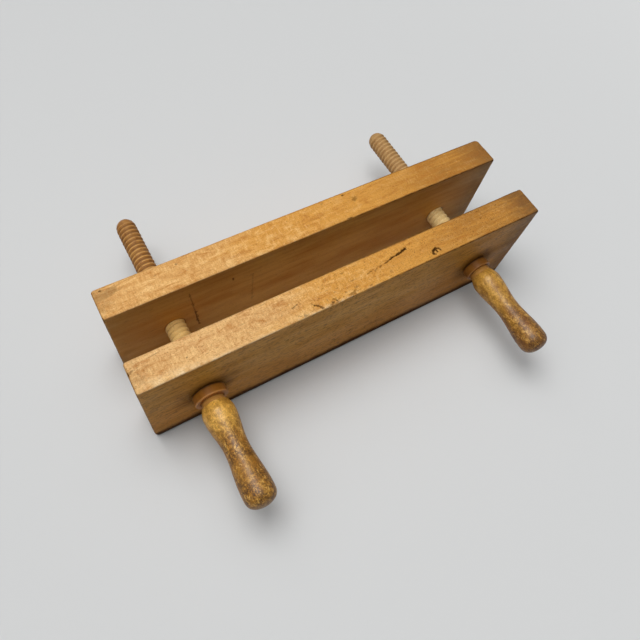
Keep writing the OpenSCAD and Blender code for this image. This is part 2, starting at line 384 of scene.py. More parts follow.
@dataclass(frozen=True)
class BeechFinish:
    """Waxed beech: a sunned top, paler at the left end, over browner sides, with grain, dirt, painted shade
    and wear.
    """

    name: str
    pale: Colour = paint(212, 167, 108)
    warm: Colour = paint(206, 148, 66)
    aged: Colour = paint(158, 107, 43)
    side: Colour = paint(218, 160, 68)
    foot: Colour = paint(208, 144, 58)
    inner: Colour = paint(220, 176, 92)
    light: Colour = paint(242, 202, 138)
    glow: Colour = paint(232, 170, 78)
    brown: Colour = paint(170, 106, 38)
    smoke: Colour = paint(112, 80, 48)
    smoky: float = 0.75
    pocked: float = 0.85
    fleck: Colour = paint(128, 80, 28)
    dirt_and_shade: Colour = paint(50, 27, 8)
    bare: Colour = paint(240, 214, 170)
    foot_m: Band = (0.09, 0.03)
    end_m: Band = (0.2146, 0.2156)
    smoke_m: Band = (0.172, 0.213)
    top_m: float = 0.1215
    top_blend_m: float = 0.0008
    outer_m: float = -0.022
    inner_m: float = -0.018
    pith: Triple = (0.0, -0.04, 0.19)
    curl_to_m: float = 0.07
    shift: Triple = (0.0, 0.0, 0.0)

    def material(self) -> Material:
        """Builds the finish.

        Returns:
            The material, which reads the painted grime_and_shade and bare values.
        """
        g = Graph(self.name, self.side, self.shift)
        cloud = g.noise((15, 60, 60), detail=3)
        within = g.band(g.y, self.outer_m, self.inner_m)
        above = g.band(g.z, self.top_m - self.top_blend_m, self.top_m + self.top_blend_m)
        ends = g.band(g.sum("ABSOLUTE", g.x, 0.0), *self.end_m)
        # The ground: browner sides, and a top that goes from pale on the left to aged on the right
        g.coat(self.foot, g.z, *self.foot_m, 1.0)
        g.cover(within, self.inner)
        stained = g.times(within, g.band(g.x, -0.08, -0.2, 0.0, 0.45))
        g.cover(g.sum("MAXIMUM", stained, g.band(g.x, 0.03, 0.13, 0.0, 0.25)), self.brown)
        g.coat(self.brown, cloud, 0.35, 0.75, 0.4)
        drift = g.band(cloud, 0.3, 0.7, 0.0, 0.4)
        left = g.band(g.sum("SUBTRACT", g.band(g.x, -0.2, 0.06), drift), 0.0, 0.6)
        right = g.times(g.band(g.x, 0.04, 0.19), g.band(cloud, 0.3, 0.7, 1.2, 0.7))
        g.cover(above, g.mix(right, g.mix(left, self.pale, self.warm), self.aged))
        # The figure: growth rings, flames, cross curl on the left and stripes on the right
        rings = g.node("ShaderNodeTexWave", {
            "Vector": g.stretch((0.12, 1, 1), self.pith), "Scale": 62.0, "Distortion": 5.0, "Detail": 2.0,
            "Detail Scale": 0.6}, wave_type="RINGS", rings_direction="X").outputs["Fac"]
        g.coat(self.brown, rings, 0.35, 1.0, 1.0, g.band(ends, 0.0, 1.0, 0.14, 0.6))
        flame = g.noise((60, 150, 150), detail=4, rough=0.6, twist=1.2)
        figured = g.times(g.band(g.x, self.curl_to_m, self.curl_to_m - 0.12, 0.3, 1.0), above)
        g.coat(self.brown, flame, 0.52, 0.68, 0.6, above)
        g.coat(self.light, flame, 0.5, 0.28, 0.5, figured)
        curl = g.noise((520, 130, 130), detail=4, rough=0.7, twist=0.5)
        patchy = g.times(figured, g.band(cloud, 0.36, 0.6, 0.65, 1.0))
        g.coat(self.brown, curl, 0.52, 0.68, 0.5, patchy)
        g.coat(self.light, curl, 0.48, 0.34, 0.45, patchy)
        ribbon = g.noise((26, 330, 330), detail=3, rough=0.6, twist=0.6)
        plain = g.times(g.band(g.x, -0.06, 0.1), above)
        g.coat(self.brown, ribbon, 0.52, 0.68, 0.45, plain)
        g.coat(self.glow, ribbon, 0.47, 0.33, 0.25, plain)
        # The grain: fibres, specks, ray flecks and open pores
        fibre = g.noise((60, 1400, 1400))
        g.coat(self.brown, fibre, 0.5, 0.8, 0.35)
        speck = g.noise((700, 950, 950), rough=0.65)
        g.coat(self.brown, speck, 0.55, 0.7, 0.55, above)
        g.coat(self.light, speck, 0.42, 0.3, 0.35, figured)
        rays = g.noise((420, 1900, 1900), detail=1)
        g.coat(self.fleck, rays, 0.62, 0.76, 0.6)
        pores = g.noise((800, 1100, 1100), detail=1, shift=(2.0, 7.0, 4.0))
        worn = g.times(g.band(g.x, -0.05, 0.15, 0.5, 1.0), above)
        g.coat(self.dirt_and_shade, pores, 0.64, 0.73, self.pocked, g.sum("MAXIMUM", worn, ends))
        # The use: a smoky right end, torn grain on the outer face, rubbed edges, and dirt with painted shade
        hands = g.noise((140, 170, 170), detail=4, rough=0.7, shift=(4.0, 1.0, 2.0))
        g.coat(self.smoke, g.x, *self.smoke_m, self.smoky, g.band(hands, 0.32, 0.6, 0.45, 1.0))
        outside = g.sum("SUBTRACT", 1.0, g.sum("MAXIMUM", within, above))
        dashes = g.noise((260, 900, 400), rough=0.6, shift=(6.0, 2.0, 9.0))
        g.coat(self.fleck, dashes, 0.52, 0.7, 0.6, outside)
        streak = g.noise((40, 560, 330), detail=5, rough=0.78, twist=0.3)
        torn = g.times(outside, g.band(hands, 0.36, 0.62, 0.45, 1.0))
        g.coat(self.fleck, streak, 0.5, 0.67, 0.8, g.band(torn, 0.0, 1.0, 0.14, 1.0))
        g.cover(g.times(g.painted("bare"), g.band(speck, 0.42, 0.58, 0.2, 1.0)), self.bare)
        # The painted dark: dirt, and painted shade at the foot, round the collars, along the rims and in the
        # holes
        soil_and_shade = g.times(g.painted("grime_and_shade"), g.band(speck, 0.3, 0.7, 1.2, 0.8))
        g.cover(soil_and_shade, self.dirt_and_shade)
        g.surface(Roughness=g.band(cloud, 0.3, 0.7, 0.46, 0.62), IOR=1.45,
                  Specular_IOR_Level=g.band(soil_and_shade, 0.1, 0.7, 0.17, 0.02))
        g.bump(g.sum("ADD", g.times(fibre, 0.5), g.times(rays, 0.4)), 0.0002, 0.55)
        return g.material


@dataclass(frozen=True)
class ScrewFinish:
    """Raw turned wood: cream in the jaw, browner on the tail, with dirt and painted shade in the groove, and
    flanks in painted shade below rubbed crests.
    """

    name: str
    cream: Colour = paint(224, 186, 116)
    tail: Colour = paint(196, 147, 80)
    groove: Colour = paint(140, 94, 44)
    stain: Colour = paint(112, 66, 30)
    line: Colour = paint(70, 44, 18)
    jaw_end_m: float = 0.03
    tail_from_m: float = 0.055
    tip_m: Band = (0.1, 0.155)
    tip_share: float = 0.35
    contrast: float = 1.0
    shift: Triple = (0.0, 0.0, 0.0)

    def material(self) -> Material:
        """Builds the finish.

        Returns:
            The material, which reads the painted crest value.
        """
        g = Graph(self.name, self.cream, self.shift)
        aged = g.band(g.y, self.jaw_end_m, self.tail_from_m)
        g.cover(aged, self.tail)
        g.coat(self.groove, g.y, *self.tip_m, self.tip_share)
        fibre = g.noise((900, 60, 900), detail=3)
        g.coat(self.groove, fibre, 0.45, 0.78, 0.3)
        worn = g.times(g.band(g.noise((120, 90, 120)), 0.25, 0.65, 0.6, 1.0), self.contrast)
        crest = g.painted("crest")
        # On the tail the flanks below the rubbed crests take the groove colour: painted shade
        g.coat(self.groove, crest, 0.97, 0.68, 0.9, g.times(aged, worn))
        blotch = g.noise((190, 230, 190), detail=3, rough=0.7, shift=(3.0, 5.0, 1.0))
        g.coat(self.stain, blotch, 0.48, 0.68, 0.55 * self.contrast, aged)
        # A dark line in the groove's root: dirt and painted shade
        g.coat(self.line, crest, 0.3, 0.05, 1.0, g.times(g.band(aged, 0.0, 1.0, 0.3, 0.6), worn))
        g.surface(Roughness=0.58, IOR=1.45, Specular_IOR_Level=0.3)
        g.bump(fibre, 0.0001, 0.6)
        return g.material


@dataclass(frozen=True)
class CollarFinish:
    """Plain orange-brown turned wood under old wax, with fine turning rings, a rubbed arris with a painted
    highlight, and a painted shadow at the heel.
    """

    name: str
    wood: Colour = paint(164, 106, 36)
    dark: Colour = paint(126, 74, 22)
    # The pale of the rubbed front, also the painted highlight on its arris
    rubbed: Colour = paint(216, 152, 86)
    # The dark of the heel's painted shadow
    dirt_and_shade: Colour = paint(52, 28, 10)
    shift: Triple = (0.0, 0.0, 0.0)

    def material(self) -> Material:
        """Builds the finish.

        Returns:
            The material, which reads the painted grime_and_shade value, the heel's painted shadow, and the
            bare value, rubbed wear with a painted highlight.
        """
        g = Graph(self.name, self.wood, self.shift)
        g.coat(self.dark, g.noise((90, 60, 90), detail=3), 0.35, 0.7, 0.5)
        g.coat(self.dark, g.noise((800, 120, 800)), 0.5, 0.8, 0.4)
        # The rubbed front, and the painted highlight on its arris
        g.cover(g.painted("bare"), self.rubbed)
        # On the collar the painted dark is the heel's painted shadow
        g.cover(g.painted("grime_and_shade"), self.dirt_and_shade)
        g.surface(Roughness=0.42, IOR=1.47, Specular_IOR_Level=0.25, Coat_Weight=0.05, Coat_Roughness=0.3)
        g.bump(g.noise((3, 1400, 3), detail=1, shift=(0.0, 0.0, 0.0)), 0.00008, 0.5)
        return g.material


@dataclass(frozen=True)
class HandleFinish:
    """Amber varnish over wood with dense dark flecks, on a plain neck at the collar."""

    name: str
    amber: Colour = paint(230, 176, 78)
    deep: Colour = paint(164, 111, 36)
    fleck: Colour = paint(74, 46, 17)
    straw: Colour = paint(238, 194, 110)
    neck: Colour = paint(176, 126, 62)
    neck_m: float = -0.0632
    neck_blend_m: float = 0.0006
    clear_from_m: float = -0.07
    dense_from_m: float = -0.118
    clear_share: float = 0.5
    grip_share: float = 0.62
    shift: Triple = (0.0, 0.0, 0.0)

    def material(self) -> Material:
        """Builds the finish.

        Returns:
            The material.
        """
        g = Graph(self.name, self.amber, self.shift)
        cloud = g.noise((85, 45, 85), detail=3, rough=0.6)
        grip = g.band(g.y, self.clear_from_m, self.dense_from_m)
        g.cover(g.sum("ADD", g.band(cloud, 0.38, 0.66, 0.0, 0.6), g.times(grip, self.grip_share)), self.deep)
        mottle = g.noise((240, 180, 240), detail=6, rough=0.8, twist=0.4)
        g.coat(self.straw, mottle, 0.48, 0.34, 0.6)
        g.coat(self.deep, mottle, 0.48, 0.64, 0.6)
        bunch = g.noise((70, 50, 70), shift=(5, 2, 3))
        dense = g.times(g.band(grip, 0.0, 1.0, self.clear_share, 1.0), g.band(bunch, 0.36, 0.58, 0.6, 1.0))
        tangle = g.noise((860, 480, 860), detail=3, rough=0.75, twist=0.8)
        tangle = g.sum("ADD", g.times(tangle, 0.6), g.times(mottle, 0.4))
        g.coat(self.fleck, tangle, 0.43, 0.545, 0.92, dense)
        g.coat(self.neck, g.y, self.neck_m - self.neck_blend_m, self.neck_m + self.neck_blend_m, 1.0)
        g.surface(Roughness=g.band(cloud, 0.3, 0.7, 0.4, 0.5), IOR=1.5, Specular_IOR_Level=0.25,
                  Coat_Weight=0.14, Coat_Roughness=0.2)
        g.bump(g.sum("ADD", g.times(mottle, 0.5), g.times(cloud, 0.5)), 0.0002, 0.35)
        return g.material


# The press


@dataclass(frozen=True)
class Mark:
    """A dent, pit, chip or gouge along a short line, measured from a cheek's lower left front corner."""

    start: Triple
    end: Triple
    width: float
    depth: float
    grime_and_shade: float
    ragged: float
    wave: Triple = (1.6, 1.6, 1.6)

    def share(self, points: Array, seed: int) -> Array:
        """How much of the mark each point has.

        The distance to the line, made uneven by ripples, is carried through (1 - d^2)^2 with d in widths.

        Args:
            points: places in the cheek's own millimetres.
            seed: which ripples to use.

        Returns:
            1 on the line, 0 from one width away.
        """
        start, end = np.array(self.start), np.array(self.end)
        run = end - start
        along = np.clip((points - start) @ run / max(run @ run, 1e-9), 0.0, 1.0)
        away = np.linalg.norm(points - start - along[..., None] * run, axis=-1)
        uneven = 1 + self.ragged * ripple(points, self.wave, seed)
        return np.clip(1 - (away / self.width * uneven) ** 2, 0.0, None) ** 2


@dataclass
class Thread:
    """The screws' right-hand vee thread, the same in the tapped holes. Angles run from +X towards -Z."""

    radius: float = 10.5
    pitch: float = 5.08
    depth: float = 1.3
    crest: float = 1.6
    crowned: float = 0.1
    lead: float = 5.0
    bury: float = 0.9

    def __post_init__(self) -> None:
        """Finds the shank's end inside the front cheek, and the groove's middle on the +X side."""
        self.shank_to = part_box("front_cheek")[1].y / MM - self.lead
        self.first_groove = self.shank_to - self.bury + (self.pitch - self.crest) / 2

    def away(self, angle: Array, y: Array) -> Array:
        """How far along the axis a place is from the groove's middle, which climbs one pitch a turn."""
        phase = (y - self.first_groove) / self.pitch - angle / TURN
        return np.abs(phase - np.round(phase)) * self.pitch

    def groove(self, angle: Array, y: Array) -> Array:
        """How deep in the groove a place is: 0 on the crest's middle and 1 on the root.

        A vee of the distance to the groove's middle is eased at its ends, and the crest falls a little
        to its sides by a square law.

        Args:
            angle: angles round the axis, in radians.
            y: places along it.

        Returns:
            The share of the thread's depth.
        """
        away = self.away(angle, y)
        edge = (self.pitch - self.crest) / 2
        vee = np.clip(1 - away / edge, 0.0, 1.0)
        crest = np.clip((away - edge) / (self.crest / 2), 0.0, 1.0)
        eased = 0.5 * vee + 0.25 * (1 - np.cos(math.pi * vee))
        return self.crowned * (1 - crest) ** 2 + (1 - self.crowned) * eased


@dataclass
class Cheek:
    """One beech cheek: a board with softened edges, two screw holes and its marks of use.

    The cheek at the handles has 1 for handled: its front edge is rubbed, and its front foot has a stronger
    painted contact shadow with dirt.
    Along x, y and z, gaps says how far grid lines are apart on plain stretches, at edges and at marks, and
    margins how far from an edge they stay close.
    """

    node: str
    body: str
    finish: BeechFinish
    marks: tuple[Mark, ...]
    seed: int
    hole: Callable[[Array, Array], Array]
    screw_x: float = 157.5
    screw_z: float = 60.0
    edge: float = 0.8
    edge_wave: Triple = (24, 400, 400)
    foot: float = 4.0
    foot_band: Band = (11.0, 5.0)
    corner: float = 2.2
    corner_reach: float = 6.0
    worn: float = 0.0
    relief: float = 0.12
    relief_wave: Triple = (46, 30, 38)
    nick: float = 0.45
    nick_wave: Triple = (6, 4, 4)
    nick_band: Band = (0.45, 0.95)
    arris_band: Band = (2.0, 0.3)
    rim_band: Band = (1.9, 0.2)
    blot_wave: Triple = (9, 6, 8)
    fine_wave: Triple = (2.2, 1.8, 1.8)
    collar_soil_and_shade: float = 0.0
    collar_ring: Band = (34.0, 16.0)
    collar_depth: Band = (3.0, 0.5)
    foot_shadow_and_dirt: Band = (18.0, 9.5)
    soiled_x: Band = (150.0, 330.0)
    right_end: Band = (34.0, 6.0)
    left_end: Band = (24.0, 0.0)
    handled: float = 0.0
    rub_from: Band = (2.0, 14.0)
    rub_to: Band = (250.0, 190.0)
    hole_square: float = 17.0
    hole_cells: int = 9
    hole_flat: Band = (12.0, 16.5)
    hole_wall_shade: float = 0.5
    ring_rows: int = 7
    wall_rows: int = 73
    mark_cell: float = 0.45
    mark_margin: float = 2.5
    gaps: tuple[Triple, ...] = ((5.0, 0.6, 0.7), (1.5, 0.5, 0.65), (5.0, 0.5, 1.2))
    margins: Triple = (5.0, 2.5, 7.0)

    def __post_init__(self) -> None:
        """Reads the board's box from the frame and lays out its grid lines."""
        low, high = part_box(self.node)
        self.low = np.array(low) / MM
        self.high = np.array(high) / MM
        self.middle = (self.low + self.high) / 2
        self.half = (self.high - self.low) / 2
        square = (-self.hole_square, self.hole_square)
        beside = [sign * self.screw_x + d for sign in (-1, 1) for d in square]
        inner = (beside, [], [self.screw_z + d for d in square])
        self.xs, self.ys, self.zs = (self._lines(axis, inner[axis]) for axis in range(3))

    def _lines(self, axis: int, inner: list[float]) -> Array:
        """Grid lines along one axis, close together at the edges and at marks.

        Args:
            axis: 0, 1 or 2.
            inner: lines that the screw holes need.

        Returns:
            The lines' places.
        """
        low, high, margin = self.low[axis], self.high[axis], self.margins[axis]
        coarse, fine, at_mark = self.gaps[axis]

        def gap(place: Array) -> Array:
            """The gap wanted at places along the axis.

            Args:
                place: the places.

            Returns:
                The gap at each.
            """
            from_edge = np.minimum(place - low, high - place)
            wanted = fine + (coarse - fine) * step(from_edge, 0.6 * margin, 2 * margin)
            for mark in self.marks:
                span = sorted((mark.start[axis] + low, mark.end[axis] + low))
                outside = np.maximum(span[0] - place, place - span[1])
                least = max(at_mark, self.mark_cell * mark.width)
                far = mark.width + self.mark_margin
                near = least + (coarse - least) * step(outside, mark.width, far)
                wanted = np.minimum(wanted, near)
            for start, end in zip(inner[::2], inner[1::2]):
                inside = (place > start) & (place < end)
                cell = self.hole_square / self.hole_cells
                wanted = np.where(inside, np.minimum(wanted, cell), wanted)
            return wanted

        return stations([low, *sorted(inner), high], gap)

    def to_edge(self, own: Array) -> Array:
        """How far places on the board are from an edge: the middle one of the ways to its faces."""
        return np.sort(np.minimum(own, 2 * self.half - own), axis=-1)[..., 1]

    def shape(self, points: Array) -> tuple[Array, dict[str, Array]]:
        """Turns places on a sharp box into the worn board.

        Each point keeps its nearest place in a core that is a rounding smaller, and moves to one rounding
        from it along the same line. Ripples and marks push it inwards along that line, and the worn upright
        edge is bent round last.

        Args:
            points: places on the box's faces.

        Returns:
            The worn places, and the painted values there: dirt with painted shade, and bare wear.
        """
        own = points - self.low
        rounding = self.edge * (1.1 + 0.3 * ripple(points, self.edge_wave, self.seed))
        rounding = rounding + (self.foot - self.edge) * step(own[..., 2], *self.foot_band)
        ends = step(np.abs(points[..., 0] - self.middle[0]), self.half[0] - self.corner_reach, self.half[0])
        rounding = np.maximum(rounding, ends * self.corner)
        reach = (self.half - rounding[..., None]).clip(0.0)
        core = self.middle + np.clip(points - self.middle, -reach, reach)
        out = points - core
        out = out / np.linalg.norm(out, axis=-1, keepdims=True)
        push = self.relief * (0.5 + 0.5 * ripple(points, self.relief_wave, self.seed + 1))
        arris = step(self.to_edge(own), *self.arris_band)
        nicks = step(ripple(points, self.nick_wave, self.seed + 4), *self.nick_band)
        push = push + self.nick * arris * nicks
        grime_and_shade = np.zeros(points.shape[:-1])
        for number, mark in enumerate(self.marks):
            share = mark.share(own, self.seed + 10 + number)
            push = push + mark.depth * share
            grime_and_shade = np.maximum(grime_and_shade, mark.grime_and_shade * step(share, 0.05, 0.55))
        holes = np.minimum(*(np.hypot(points[..., 0] - sign * self.screw_x, points[..., 2] - self.screw_z)
                             for sign in (-1, 1)))
        flat = np.abs(points[..., 1] - self.middle[1]) > self.half[1] - TOUCH
        push = push * np.where(flat, step(holes, *self.hole_flat), 1.0)
        shaped = core + (rounding - push)[..., None] * out
        # A darker ring round each hole on the face at the handles: dirt, and the painted shadow of the collar
        # and handle
        ring = self.collar_soil_and_shade * step(holes, *self.collar_ring) * step(own[..., 1], *self.collar_depth)
        grime_and_shade, bare = self.soil_and_shade(own, np.maximum(grime_and_shade, ring))
        return self.bend(shaped), {"grime_and_shade": grime_and_shade, "bare": bare}

    def bend(self, points: Array) -> Array:
        """Rounds the worn upright edge, right and behind, if there is one.

        A square of its rounding in plan is carried to a quarter disc: u becomes u sqrt(1 - v^2/2) and v
        becomes v sqrt(1 - u^2/2), with u and v the shares of the way to the edge.

        Args:
            points: places on the board.

        Returns:
            The bent places.
        """
        if not self.worn:
            return points
        share = np.clip((points[..., :2] - self.high[:2] + self.worn) / self.worn, 0.0, 1.0)
        kept = np.sqrt(1 - share[..., ::-1] ** 2 / 2)
        lost = self.worn * share * (1 - kept)
        return points - np.concatenate([lost, np.zeros_like(lost[..., :1])], axis=-1)

    def soil_and_shade(self, own: Array, grime_and_shade: Array) -> tuple[Array, Array]:
        """Adds the dirt of the ends, dirt and painted shade along the rims, a painted contact shadow with
        dirt at the foot, and the rubbed edges.

        Args:
            own: places in the cheek's own millimetres.
            grime_and_shade: the dirt of the marks, and the darker ring round the collars, dirt with painted
                shadow.

        Returns:
            All the dirt, with the painted shade, and the bare wood, from 0 to 1.
        """
        x, y, z = np.moveaxis(own, -1, 0)
        length, _, height = 2 * self.half
        blot = 0.5 + 0.5 * ripple(own, self.blot_wave, self.seed + 2)
        fine = 0.5 + 0.5 * ripple(own, self.fine_wave, self.seed + 3)
        rightwards = step(x, *self.soiled_x)
        right = step(length - x + 8 * fine, *self.right_end) * (0.25 + 0.75 * blot)
        left = step(x, *self.left_end) * step(blot, 0.45, 0.85)
        ends = step(np.minimum(x, length - x), 1.2, 0.0)
        # Along the rims: dirt, and painted shade that dims the rounded edges' highlight, heavier to the right
        rim = step(self.to_edge(own), *self.rim_band)
        # At the foot: a painted contact shadow with dirt, stronger on the face at the handles
        foot = 0.4 + 0.55 * self.handled * step(y, 1.5, 0.5)
        dirt_and_shade = np.maximum.reduce([
            grime_and_shade, 0.4 * right * (0.3 + 0.7 * fine), 0.2 * left, foot * step(z + 3 * blot, *self.foot_shadow_and_dirt),
            ends * (0.25 + 0.35 * blot + 0.2 * rightwards),
            rim * (0.45 + 0.5 * fine) * (0.4 + 0.6 * rightwards)])
        reach = 4.0 + 8.0 * step(x, 75.0, 25.0)
        front_top = step(y / reach, 1.0, 0.0) * step(z, height - 1.0, height - 0.3)
        rubbed = step(x, *self.rub_from) * step(x, *self.rub_to)
        bare = 0.75 * self.handled * front_top * rubbed * step(0.6 * fine + 0.4 * blot, 0.35, 0.65)
        return np.clip(dirt_and_shade, 0.0, 0.95), np.clip(bare + 0.08 * rim * fine, 0.0, 0.9)

    def face(self, axis: int, at: float, keep: Union[Array, None] = None) -> Patch:
        """One flat face as a grid of the lines along the other two axes, then worn.

        Args:
            axis: the axis that the face is square to.
            at: its place on that axis.
            keep: the cells that are kept.

        Returns:
            The patch.
        """
        first, second = [(self.xs, self.ys, self.zs)[i] for i in range(3) if i != axis]
        grid = np.stack(np.meshgrid(first, second, indexing="ij"), axis=-1)
        shaped, painted = self.shape(np.insert(grid, axis, at, axis=-1))
        return Patch(shaped, keep=keep, paint=painted)

    def hole_patches(self, sign: int) -> list[Patch]:
        """A screw hole: a ring from its square to its rim on each long face, and the wall between.

        The rim's radius is the hole's radius at that angle and depth, so a tapped hole keeps its thread.

        Args:
            sign: -1 for the left hole and 1 for the right.

        Returns:
            The patches.
        """
        centre = np.array([sign * self.screw_x, self.screw_z])
        x = self.xs[np.abs(self.xs - centre[0]) < self.hole_square + TOUCH]
        z = self.zs[np.abs(self.zs - centre[1]) < self.hole_square + TOUCH]
        along, upright = np.ones(len(x) - 1), np.ones(len(z) - 1)
        square = np.stack([
            np.concatenate([x[:-1], x[-1] * upright, x[:0:-1], x[0] * upright]),
            np.concatenate([z[0] * along, z[:-1], z[-1] * along, z[:0:-1]])], axis=-1)
        angle = np.arctan2(-(square[:, 1] - centre[1]), square[:, 0] - centre[0])
        rays = np.stack([np.cos(angle), -np.sin(angle)], axis=-1)

        def rim(y: Array) -> Array:
            """A ring of points on the hole's rim for each place along the axis."""
            flat = centre + self.hole(angle[None, :], y[:, None])[..., None] * rays
            return np.insert(flat, 1, np.broadcast_to(y[:, None], flat.shape[:-1]), axis=-1)

        patches = []
        share = np.linspace(0.0, 1.0, self.ring_rows)[:, None, None]
        for y in (self.low[1], self.high[1]):
            outer = np.insert(square, 1, y, axis=-1)[None]
            shaped, painted = self.shape(outer * (1 - share) + rim(np.array([y])) * share)
            patches.append(Patch(shaped, round_columns=True, paint=painted))
        wall = rim(np.linspace(self.low[1], self.high[1], self.wall_rows))
        # The hole's wall is painted half dark all over: painted shade inside the hole
        blank = {"grime_and_shade": np.full(wall.shape[:-1], self.hole_wall_shade), "bare": np.zeros(wall.shape[:-1])}
        patches.append(Patch(wall, round_columns=True, paint=blank))
        return patches

    def build(self) -> Piece:
        """Weaves the six faces, the long ones open in a square round each hole, and the holes into a board.

        Returns:
            The board.
        """
        x, z = ((lines[1:] + lines[:-1]) / 2 for lines in (self.xs, self.zs))
        near_x = np.abs(np.abs(x) - self.screw_x) < self.hole_square
        near_z = np.abs(z - self.screw_z) < self.hole_square
        kept = ~(near_x[:, None] & near_z[None, :])
        patches = [self.face(1, end[1], kept) for end in (self.low, self.high)]
        patches += [self.face(axis, end[axis]) for axis in (0, 2) for end in (self.low, self.high)]
        for sign in (-1, 1):
            patches += self.hole_patches(sign)
        return weave(self.node + "_board", patches)

    def dress(self) -> None:
        """Builds the board and puts it in its node's stead."""
        place(self.build(), self.node, self.body, "cheek_wood", self.finish.material())


@dataclass
class Spindle:
    """One screw with its collar and its handle, all turned about one axis."""

    side: Side
    bulge_d: float
    waist_d: float
    knob_d: float
    collar_d: float
    screw_finish: ScrewFinish
    collar_finish: CollarFinish
    handle_finish: HandleFinish
    seed: int
    thread: Thread = field(default_factory=Thread)
    tenon_d: float = 14.0
    tenon_ease: float = 0.6
    shank_d: float = 21.4
    shank_ease: float = 0.3
    run_in: float = 3.6
    tip_l: float = 12.0
    tip_taper: float = 0.55
    tip_bare: float = 6.0
    chip: float = 0.22
    chip_wave: Triple = (3, 2, 3)
    chip_band: Band = (-14.0, 60.0)
    least_radius: float = 0.05
    neck_d: float = 22.4
    neck_l: float = 4.8
    neck_cove: float = 1.0
    least_step: float = 0.8
    shoulder_in: float = 2.6
    shoulder_round: float = 1.2
    bulge_at: float = 15.0
    waist_at: float = 49.5
    knob_l: float = 14.5
    knob_fullness: float = 3.2
    collar_round: float = 1.2
    collar_heel: float = 0.8
    collar_rubbed_and_highlight: float = 0.55
    rubbed_and_highlight_band: Band = (1.8, 0.6)
    heel_shade: float = 0.9
    heel_band: Band = (2.4, 0.4)
    land_front: float = 1.8
    land_back: float = 1.4
    collar_uneven: float = 0.06
    handle_uneven: float = 0.16
    uneven_wave: Triple = (14, 22, 14)
    uneven_from: float = 8.0
    collar_room: float = 0.12
    glue_room: float = 0.12
    facets: int = 96
    rows_per_turn: int = 16

    def __post_init__(self) -> None:
        """Reads the axis and the ends of the three pieces from the frame, and lays out even angles."""
        self.body = self.side.value + "_spindle"
        self.angles = np.arange(self.facets)[None, :] * TURN / self.facets
        spans = []
        for part in ("screw", "collar", "handle"):
            low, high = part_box(self.node(part))
            spans.append((low.y / MM, high.y / MM))
            self.axis_x = (low.x + high.x) / 2 / MM
            self.axis_z = (low.z + high.z) / 2 / MM
        self.screw_span, self.collar_span, self.handle_span = spans

    def node(self, part: str) -> str:
        """The name of this side's node for a part."""
        return f"{self.side.value}_{part}"

    def around(self, radius: Array, y: Array, angle: Array) -> Array:
        """Points about the axis: x = r cos a, z = -r sin a, so angles climb with the thread."""
        x, z = self.axis_x + radius * np.cos(angle), self.axis_z - radius * np.sin(angle)
        return np.stack(np.broadcast_arrays(x, y, z), axis=-1)

    def turned(self, outline: Array, uneven: float) -> Array:
        """Carries an outline of radius and place round the axis, one row of points to an outline point.

        Args:
            outline: points of radius and place.
            uneven: how far a worn surface strays from true.

        Returns:
            The grid of points.
        """
        radius, y = outline[:, :1], outline[:, 1:]
        true = self.around(radius, y, self.angles)
        stray = uneven * ripple(true, self.uneven_wave, self.seed) * np.minimum(radius / self.uneven_from, 1)
        return self.around(radius + stray, y, self.angles)

    def envelope(self, y: Array) -> Array:
        """The crest's radius along the screw: level, then R (1 - u^2)^taper over the tip."""
        u = np.clip((y - self.screw_span[1] + self.tip_l) / self.tip_l, 0.0, 1.0)
        return self.thread.radius * (1 - u * u) ** self.tip_taper

    def screw(self) -> Piece:
        """The screw: tenon and shank turned, then the thread on rows that climb with it.

        A row's place is its own start plus the pitch times its share of a turn, so it keeps one depth of
        the groove. Rows are clipped to the thread's ends, where they fall together.

        Returns:
            The screw.
        """
        thread = self.thread
        low, high = self.screw_span
        shoulder = self.handle_span[1]
        tenon, shank = self.tenon_d / 2, self.shank_d / 2
        stem = self.turned(np.array([
            [0.0, low], [tenon - self.tenon_ease, low], [tenon, low + self.tenon_ease], [tenon, shoulder],
            [shank, shoulder], [shank, thread.shank_to - self.shank_ease],
            [thread.radius, thread.shank_to]]), 0.0)
        angle = self.angles
        rise = thread.pitch / self.rows_per_turn
        rows = np.arange(thread.shank_to - thread.pitch, high + rise, rise)
        y = np.clip(rows[:, None] + thread.pitch * angle / TURN, thread.shank_to, high)
        fade = step(y, thread.shank_to, thread.shank_to + self.run_in)
        fade = fade * step(y, high - self.tip_bare, high - self.tip_l)
        groove = thread.groove(angle, y) * fade
        bumps = ripple(self.around(shank, y, angle), self.chip_wave, self.seed)
        chips = self.chip * np.clip(bumps, 0.0, 1.0) * (1 - groove) * step(y, *self.chip_band)
        radius = self.envelope(y) - thread.depth * groove - chips
        radius = np.where(y >= high, 0.0, np.maximum(radius, self.least_radius))
        points = self.around(radius, y, angle)
        crest = fade * thread.away(angle, y) / (thread.pitch / 2) + (1 - fade) * 0.6
        seam = np.minimum(np.arange(len(rows)) + self.rows_per_turn, len(rows) - 1)
        points, crest = (np.concatenate([grid, grid[seam, :1]], axis=1) for grid in (points, crest))
        return weave(self.node("screw") + "_cut", [
            Patch(stem, round_columns=True, paint={"crest": np.ones(stem.shape[:-1])}),
            Patch(points, paint={"crest": crest})])

    def collar(self) -> Piece:
        """The collar ring: bore, flat faces, a rounded front rim and an eased heel at the cheek.

        Returns:
            The collar.
        """
        front, back = self.collar_span
        rim, bore = self.collar_d / 2, self.shank_d / 2 + self.collar_room
        land = np.linspace(front + self.land_front, back - self.land_back, 8)
        outline = np.concatenate([
            [[bore, back], [bore, front], [(bore + rim) / 2 - 0.5, front]],
            arc((rim - self.collar_round, front + self.collar_round), self.collar_round, -90, 0, 10),
            np.stack([np.full_like(land, rim), land], axis=-1),
            arc((rim - self.collar_heel, back - self.collar_heel), self.collar_heel, 0, 90, 6),
            [[bore, back]]])
        points = self.turned(outline, self.collar_uneven)
        y = outline[:, 1:]
